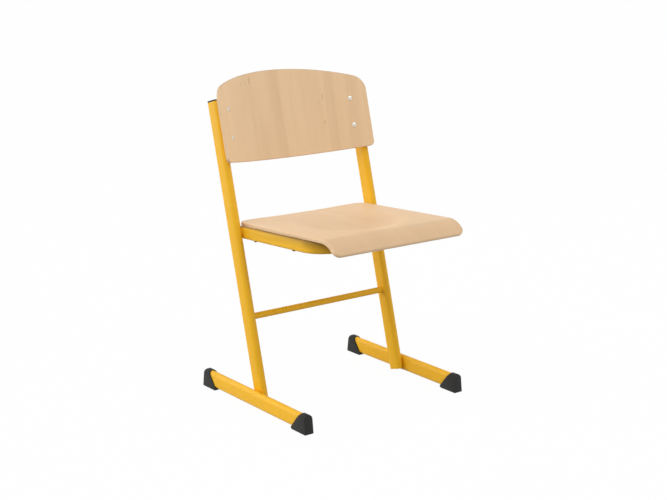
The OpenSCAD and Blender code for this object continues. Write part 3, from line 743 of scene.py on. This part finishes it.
blank = seat.verts.layers.float_vector["blank"]
hollow_layer, seat_light_layer = (seat.verts.layers.float.new(name) for name in ("hollow", "seat_light"))
# Painted shade in the dish and on the lip's face; painted light on the dish's front wall and the
# lip's lower edge.
for vert in seat.verts:
    vert[hollow_layer], vert[seat_light_layer] = seat_light_and_shade(*vert[blank])
finish_piece(seat, "pressed_seat", seat_beech, ["seat_shell"])

# %% [markdown]
# The backrest is a curved board, 8 mm thick, with a crowned top, large upper corners
# and small lower ones. Its grain stands upright. Columns of the stack lie along the
# curve, close together in the corners, and rows climb from the lower edge to the top.
# The attribute rim, a greyer painted shade on the edge, grows from 0 to 1 up the edge's
# flanks and stays 1 along the top.

# %% The backrest's blank and mould
BACK_R, BACK_AXIS = 0.380, -0.34805
BACK_HALF, BACK_LOW, BACK_TOP = 0.24270, 0.57329, 0.79929
CROWN_R, UPPER_CORNER, LOWER_CORNER, BACK_ARRIS = 0.620, 0.045, 0.012, 0.0018
CORNER_COLUMNS, BACK_COLUMNS, BACK_ROWS = 12, 60, 40
RIM_START, RIM_FADE, RIM_SKIN = 0.150, 0.035, 0.0001
CORNER_S = BACK_HALF - UPPER_CORNER
CROWN_S = BACK_TOP - CROWN_R
CORNER_RISE = math.sqrt((CROWN_R - UPPER_CORNER) ** 2 - CORNER_S ** 2)
TOUCH = CORNER_S / (CROWN_R - UPPER_CORNER)
back_profile = arris_profile(BACK_ARRIS, BACK_ARRIS, BACK_T)


def rise(r, s):
    """Height of an arc of radius r at s from its middle."""
    return math.sqrt(max(0, r * r - s * s))


def back_blank(column, row, band):
    """Flat place of a point of the backrest's stack."""
    inset, depth = back_profile[band]
    last = 2 * CORNER_COLUMNS + BACK_COLUMNS
    side = -1 if column < last / 2 else 1
    from_end = min(column, last - column)
    corner = UPPER_CORNER - inset
    if from_end < CORNER_COLUMNS:
        s = CORNER_S + corner * math.cos(math.pi / 2 * from_end / CORNER_COLUMNS)
    else:
        s = CORNER_S * (1 - (from_end - CORNER_COLUMNS) / (BACK_COLUMNS / 2))
    if s > CORNER_S + corner * TOUCH:
        top = CROWN_S + CORNER_RISE + rise(corner, s - CORNER_S)
    else:
        top = CROWN_S + rise(CROWN_R - inset, s)
    past_corner = max(0, s - BACK_HALF + LOWER_CORNER)
    low = BACK_LOW + LOWER_CORNER - rise(LOWER_CORNER - inset, past_corner)
    if row in (0, BACK_ROWS):
        height = top if row else low
    else:
        height = low + SUPPORT + (top - low - 2 * SUPPORT) * (row - 1) / (BACK_ROWS - 2)
    return side * s, height - BACK_LOW, depth


def back_mould(across, along, depth):
    """Pressed place of a point of the blank, in the uprights' frame."""
    turn = across / BACK_R
    r = BACK_R + depth
    return r * math.sin(turn), BACK_AXIS + r * math.cos(turn), BACK_LOW + along


back = veneer_stack(2 * CORNER_COLUMNS + BACK_COLUMNS, BACK_ROWS, len(back_profile) - 1)
press(back, back_blank, back_mould, lean_frame)
blank, rim_shade_layer = back.verts.layers.float_vector["blank"], back.verts.layers.float.new("rim")
# Painted shade: rim greys the lit top edge and the upper part of its flanks.
for vert in back.verts:
    if RIM_SKIN < vert[blank].z < BACK_T - RIM_SKIN:
        vert[rim_shade_layer] = max(0, min(1, (vert[blank].y - RIM_START) / RIM_FADE))
finish_piece(back, "curved_backrest", back_beech, ["backrest_shell"])

# %% [markdown]
# The solids of the frame have knife-sharp edges, but a sawn tube is deburred, a plate is
# ground and plastic leaves its mould with a small radius. A copy of the solid is merged,
# its flat faces are cleaned of needless edges, and its hard edges are eased, unless
# other pieces cover them. On the rail a share of painted shade fades out over the first
# millimetres below the seat, and reaches further down in the bend behind the lip, where
# the seat and the lip shade the tube.

# %% Steel pieces with eased edges
SHADE_REACH, BEND_SHADE_REACH, BEND_START, SHADE_FALL = 0.0044, 0.052, 0.080, 1.5
HARD_EDGE, FLAT_EDGE, MERGE = math.radians(30), math.radians(0.4), 1e-6
to_seat = seat_frame.inverted()


def shade_below_seat(place):
    """Share of painted shade: 1 at the seat's underside, 0 a little way below it."""
    at = to_seat @ place
    into_bend = min(1, max(0, 1 - at.y / BEND_START))
    below = min(1, max(0, (-SEAT_T - at.z) / (SHADE_REACH + BEND_SHADE_REACH * into_bend)))
    return (1 - below) ** SHADE_FALL


def eased_copy(node, name, finish, radius):
    """A merged copy of a solid with rounded hard edges."""
    bm = bmesh.new()
    bm.from_mesh(nodes[node].data)
    bmesh.ops.remove_doubles(bm, verts=bm.verts, dist=MERGE)
    bmesh.ops.dissolve_limit(bm, angle_limit=FLAT_EDGE, verts=bm.verts, edges=bm.edges)
    edges = [e for e in bm.edges if e.is_manifold and e.calc_face_angle() > HARD_EDGE]
    if radius:
        bmesh.ops.bevel(bm, geom=edges, offset=radius, offset_type="OFFSET", segments=3,
                        profile=0.5, affect="EDGES", clamp_overlap=True, material=-1)
    # The rail's points carry a share of painted shade below the seat and in the bend.
    if node == "seat_rail":
        painted_shade = bm.verts.layers.float.new("painted_shade")
        for vert in bm.verts:
            vert[painted_shade] = shade_below_seat(vert.co)
    finish_piece(bm, name, finish, [node])


for node, radius in (
        ("left_upright", 0.0004), ("right_upright", 0.0004), ("left_skid", 0), ("right_skid", 0),
        ("crossbar", 0), ("seat_rail", 0), ("left_back_plate", 0.0005),
        ("right_back_plate", 0.0005), ("seat_lugs", 0.0005)):
    eased_copy(node, "coated_" + node, powder_coat, radius)

# %% [markdown]
# The tubes are welded, and a weld leaves a small rippled bead under the paint. A bead is
# a row of small circles along a line, bridged one to the next.

# %% Helpers: a weld bead
BEAD_R, RIPPLE, SWELL, RIPPLE_TURN = 0.0017, 0.0012, 0.10, 2.3


def bead(bm, points, closed=False):
    """Adds a bead along a line of points."""
    loops = []
    last = len(points) - 1
    for k, point in enumerate(points):
        ahead = points[(k + 1) % len(points)] if closed or k < last else point
        behind = points[k - 1] if closed or k else point
        turn = (ahead - behind).to_track_quat("Z", "Y").to_matrix().to_4x4()
        end_share = 1 if closed or 0 < k < last else 0.5
        ring = bmesh.ops.create_circle(
            bm, cap_ends=not closed and k in (0, last), segments=8,
            radius=BEAD_R * (1 + SWELL * math.sin(RIPPLE_TURN * k)) * end_share,
            matrix=Matrix.Translation(point) @ turn)["verts"]
        loops.append(list({e for v in ring for e in v.link_edges}))
    for one, other in zip(loops, loops[1:] + (loops[:1] if closed else [])):
        bmesh.ops.bridge_loops(bm, edges=one + other)


def straight(start, stop):
    """Points along a line, about one ripple apart."""
    count = max(2, round((stop - start).length / RIPPLE))
    return [start.lerp(stop, k / count) for k in range(count + 1)]


def back_and_up(matrix):
    """Two unit directions of a frame: to the rear and up."""
    return matrix.to_3x3() @ Vector((0, 1, 0)), matrix.to_3x3() @ Vector((0, 0, 1))


print("bead helpers ready")

# %% [markdown]
# The beads sit around the ends of the crossbar, in the grooves between uprights and
# skids, above, below and in front of the rail's legs where they meet the uprights, and
# as two short stitches on both sides of each plate behind the backrest. Each is sunk a
# little into the tube that it lies on.

# %% Weld beads
UPRIGHT_X, TUBE_HALF, BEAD_SUNK, GROOVE_SUNK = 0.2155, 0.010, 0.0004, 0.0006
CROSSBAR_R, CROSSBAR_Z, RING_POINTS = 0.008, 0.2135, 40
SKID_GROOVE, SKID_BEAD = 0.0150, 0.012
RAIL_MID, RAIL_GROOVE, RAIL_BEAD = -0.0242, 0.0111, 0.009
FRONT_GROOVE, FRONT_BEAD = 0.0143, 0.007
NOSE_Y, NOSE_R, NOSE_TURN, NOSE_SIDE = -0.010, 0.0104, math.radians(32.52), math.radians(24)
RIVET_MID, STITCH_LOW, STITCH_HIGH, STITCH = 0.66829, 0.046, 0.020, 0.026

crossbar_y = CROSS_Y + (CROSSBAR_Z - SKID_Z) * math.tan(LEAN)
low_end, high_end = [to_seat @ lean_frame @ Vector((0, 0, t)) for t in (0, 1)]
meeting = lean_frame @ Vector((0, 0, (RAIL_MID - low_end.z) / (high_end.z - low_end.z)))
along_rail, up_rail = back_and_up(seat_frame)
behind_tube, up_tube = back_and_up(lean_frame)
bm = bmesh.new()
for side in (-1, 1):
    inner, outer = side * (UPRIGHT_X - TUBE_HALF), side * (UPRIGHT_X + TUBE_HALF)
    turns = [2 * math.pi * k / RING_POINTS for k in range(RING_POINTS)]
    bead(bm, [Vector((inner - side * BEAD_SUNK, crossbar_y + CROSSBAR_R * math.sin(a),
                      CROSSBAR_Z + CROSSBAR_R * math.cos(a))) for a in turns], closed=True)
    for height in (SKID_Z + SKID_GROOVE, SKID_Z - SKID_GROOVE):
        middle = CROSS_Y + (height - SKID_Z) * math.tan(LEAN)
        bead(bm, straight(Vector((outer + side * GROOVE_SUNK, middle - SKID_BEAD, height)),
                          Vector((outer + side * GROOVE_SUNK, middle + SKID_BEAD, height))))
    for rise_by in (-RAIL_GROOVE, RAIL_GROOVE):
        middle = meeting + Vector((inner - side * BEAD_SUNK, 0, 0)) + rise_by * up_rail
        bead(bm, straight(middle - RAIL_BEAD * along_rail, middle + RAIL_BEAD * along_rail))
    middle = meeting + Vector((inner + side * BEAD_SUNK, 0, 0)) - FRONT_GROOVE * behind_tube
    bead(bm, straight(middle - FRONT_BEAD * up_tube, middle + FRONT_BEAD * up_tube))
    for turn in (NOSE_TURN - NOSE_SIDE, NOSE_TURN + NOSE_SIDE):
        x, y = side * (UPRIGHT_X - NOSE_R * math.sin(turn)), NOSE_Y - NOSE_R * math.cos(turn)
        for start in (RIVET_MID - STITCH_LOW, RIVET_MID + STITCH_HIGH):
            bead(bm, straight(lean_frame @ Vector((x, y, start)),
                              lean_frame @ Vector((x, y, start + STITCH))))
bmesh.ops.recalc_face_normals(bm, faces=bm.faces)
finish_piece(bm, "weld_beads", powder_coat, crease=math.radians(80))

# %% [markdown]
# The feet, the caps in the uprights, the plugs in the rail and the stacking studs are
# moulded plastic, so their edges have a larger radius than the steel's. The studs are
# turned shapes that need none.

# %% Plastic pieces
for node, radius in (
        ("front_left_foot", 0.0008), ("front_right_foot", 0.0008), ("rear_left_foot", 0.0008),
        ("rear_right_foot", 0.0008), ("left_top_cap", 0.0008), ("right_top_cap", 0.0008),
        ("left_rail_plug", 0.0005), ("right_rail_plug", 0.0005), ("stacking_studs", 0)):
    eased_copy(node, "moulded_" + node, black_plastic, radius)

# %% [markdown]
# The rivets, their mandrels, the seat's screws and the threaded inserts are turned
# shapes that are right as they are, so they stay and only get their metals.

# %% Metal for the fasteners
for node, finish in (("backrest_rivets", rivet_metal), ("rivet_mandrels", zinc_metal),
                     ("seat_screws", zinc_metal), ("seat_inserts", brass_metal)):
    nodes[node].data.materials.clear()
    nodes[node].data.materials.append(finish)
    print(node, "in", finish.name)

# %% [markdown]
# The photograph is a plain studio picture on white, with hardly a shadow. The floor is
# a pale diffuse surface which also glows for the camera and in a gloss, so that it comes
# out white and still keeps a trace of shadow. For the light that it throws back at the
# chair it is duller, because the tubes in the photograph are dark below. Seen from
# below it is clear, so that the chair's underside can be looked at.

# %% Floor
FLOOR_HALF, FLOOR_GLOW = 20, 0.975
PALE_GREYS, DULL_GREYS = (0.78, 0.80), (0.39, 0.41)


def seen_plainly(tree):
    """1 for the camera, in a gloss and through glass, 0 for the light on the chair."""
    paths = add(tree, "ShaderNodeLightPath").outputs
    seen = maths(tree, "ADD", paths["Is Camera Ray"], paths["Is Glossy Ray"])
    return maths(tree, "ADD", seen, paths["Is Transmission Ray"], clamp=True)


def grey_cloth(tree, tone, greys):
    """A diffuse surface between two greys."""
    low, high = [(grey, grey, grey, 1) for grey in greys]
    return add(tree, "ShaderNodeBsdfDiffuse", None, {
        "Color": blend_colour(tree, tone, low, high)}).outputs[0]


bm = bmesh.new()
bmesh.ops.create_grid(bm, x_segments=1, y_segments=1, size=FLOOR_HALF)
mesh = bpy.data.meshes.new("floor")
bm.to_mesh(mesh)
bm.free()
floor = bpy.data.objects.new("floor", mesh)
bpy.context.scene.collection.objects.link(floor)
floor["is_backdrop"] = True

floor_finish = bpy.data.materials.new("pale_floor")
floor_finish.use_nodes = True
tree = floor_finish.node_tree
tree.nodes.clear()
place = add(tree, "ShaderNodeTexCoord").outputs["Object"]
tone = use_group(tree, cloudy, {"Place": place, "Size": 0.6})["Tone"]
pale, dull = [grey_cloth(tree, tone, greys) for greys in (PALE_GREYS, DULL_GREYS)]
glow = add(tree, "ShaderNodeEmission", None, {"Color": (1, 1, 1, 1), "Strength": 1.0}).outputs[0]
clear = add(tree, "ShaderNodeBsdfTransparent").outputs[0]
below = add(tree, "ShaderNodeNewGeometry").outputs["Backfacing"]
faint = add(tree, "ShaderNodeMixShader", None, {0: FLOOR_GLOW, 1: pale, 2: glow}).outputs[0]
top = add(tree, "ShaderNodeMixShader", None, {0: seen_plainly(tree), 1: dull, 2: faint}).outputs[0]
surface = add(tree, "ShaderNodeMixShader", None, {0: below, 1: top, 2: clear}).outputs[0]
add(tree, "ShaderNodeOutputMaterial", None, {"Surface": surface})
mesh.materials.append(floor_finish)
print("floor", floor.name)

# %% [markdown]
# The studio is a white room whose walls glow unevenly. Each part of it is a soft lobe: a
# glow that is strongest in one direction and fades evenly around it. The weights were
# fitted to the brightness of the same places on the chair in the photograph, one lobe
# at a time. The strongest lobes are low behind the chair, which is what brings out the
# dish in the seat. Where the camera or a gloss sees the room it is plain white at
# strength 1.

# %% The glowing room
ROOM_LOBES = [
    ("front wall", (0, -1, 0.1), 1, 1.15),
    ("ceiling", (0, 0, 1), 4, 0.22),
    ("rear wall", (0, 1, 0.08), 12, 5.20),
    ("rear corner on the sitter's right", (-0.79, 0.61, 0.12), 10, 4.10),
    ("wall on the sitter's left", (1, -0.1, 0.15), 10, 1.80),
    ("high on the sitter's right", (-1, 0.1, 1), 12, 2.15),
]
world = bpy.data.worlds.new("white_room")
bpy.context.scene.world = world
world.use_nodes = True
tree = world.node_tree
tree.nodes.clear()
direction = add(tree, "ShaderNodeTexCoord").outputs["Generated"]
glow = 0.0
for title, way, tightness, weight in ROOM_LOBES:
    towards = add(tree, "ShaderNodeVectorMath", {"operation": "DOT_PRODUCT"}, {
        0: direction, 1: Vector(way).normalized()}).outputs["Value"]
    swell = maths(tree, "POWER", maths(tree, "MAXIMUM", towards, 0.0), tightness)
    glow = maths(tree, "MULTIPLY_ADD", swell, weight, glow)
    print("lobe:", title, weight)
strength = add(tree, "ShaderNodeMix", {"data_type": "FLOAT"}, {
    0: seen_plainly(tree), 2: glow, 3: 1.0}).outputs[0]
room = add(tree, "ShaderNodeBackground", None, {
    "Color": (1, 1, 1, 1), "Strength": strength}).outputs[0]
add(tree, "ShaderNodeOutputWorld", None, {"Surface": room})

# %% [markdown]
# One large soft box above adds what a lobe can't: a soft highlight on the tubes and the
# fasteners, and a trace of shadow under the chair.

# %% Soft box above
BOX_AT, BOX_AIM = Vector((0.2, -0.3, 3.4)), Vector((0, 0, 0.4))
BOX_SIZE, BOX_POWER = 2.2, 17

light = bpy.data.lights.new("top_box", "AREA")
light.size = BOX_SIZE
light.energy = BOX_POWER
box = bpy.data.objects.new("top_box", light)
bpy.context.scene.collection.objects.link(box)
box.location = BOX_AT
box.rotation_mode = "QUATERNION"
box.rotation_quaternion = (BOX_AIM - BOX_AT).to_track_quat("-Z", "Y")
print("lamp", box.name, "power", light.energy)

# %% [markdown]
# Blender's Standard view shows a colour as it is written.

# %% Finish
bpy.context.scene.view_settings.view_transform = "Standard"
low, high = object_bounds()
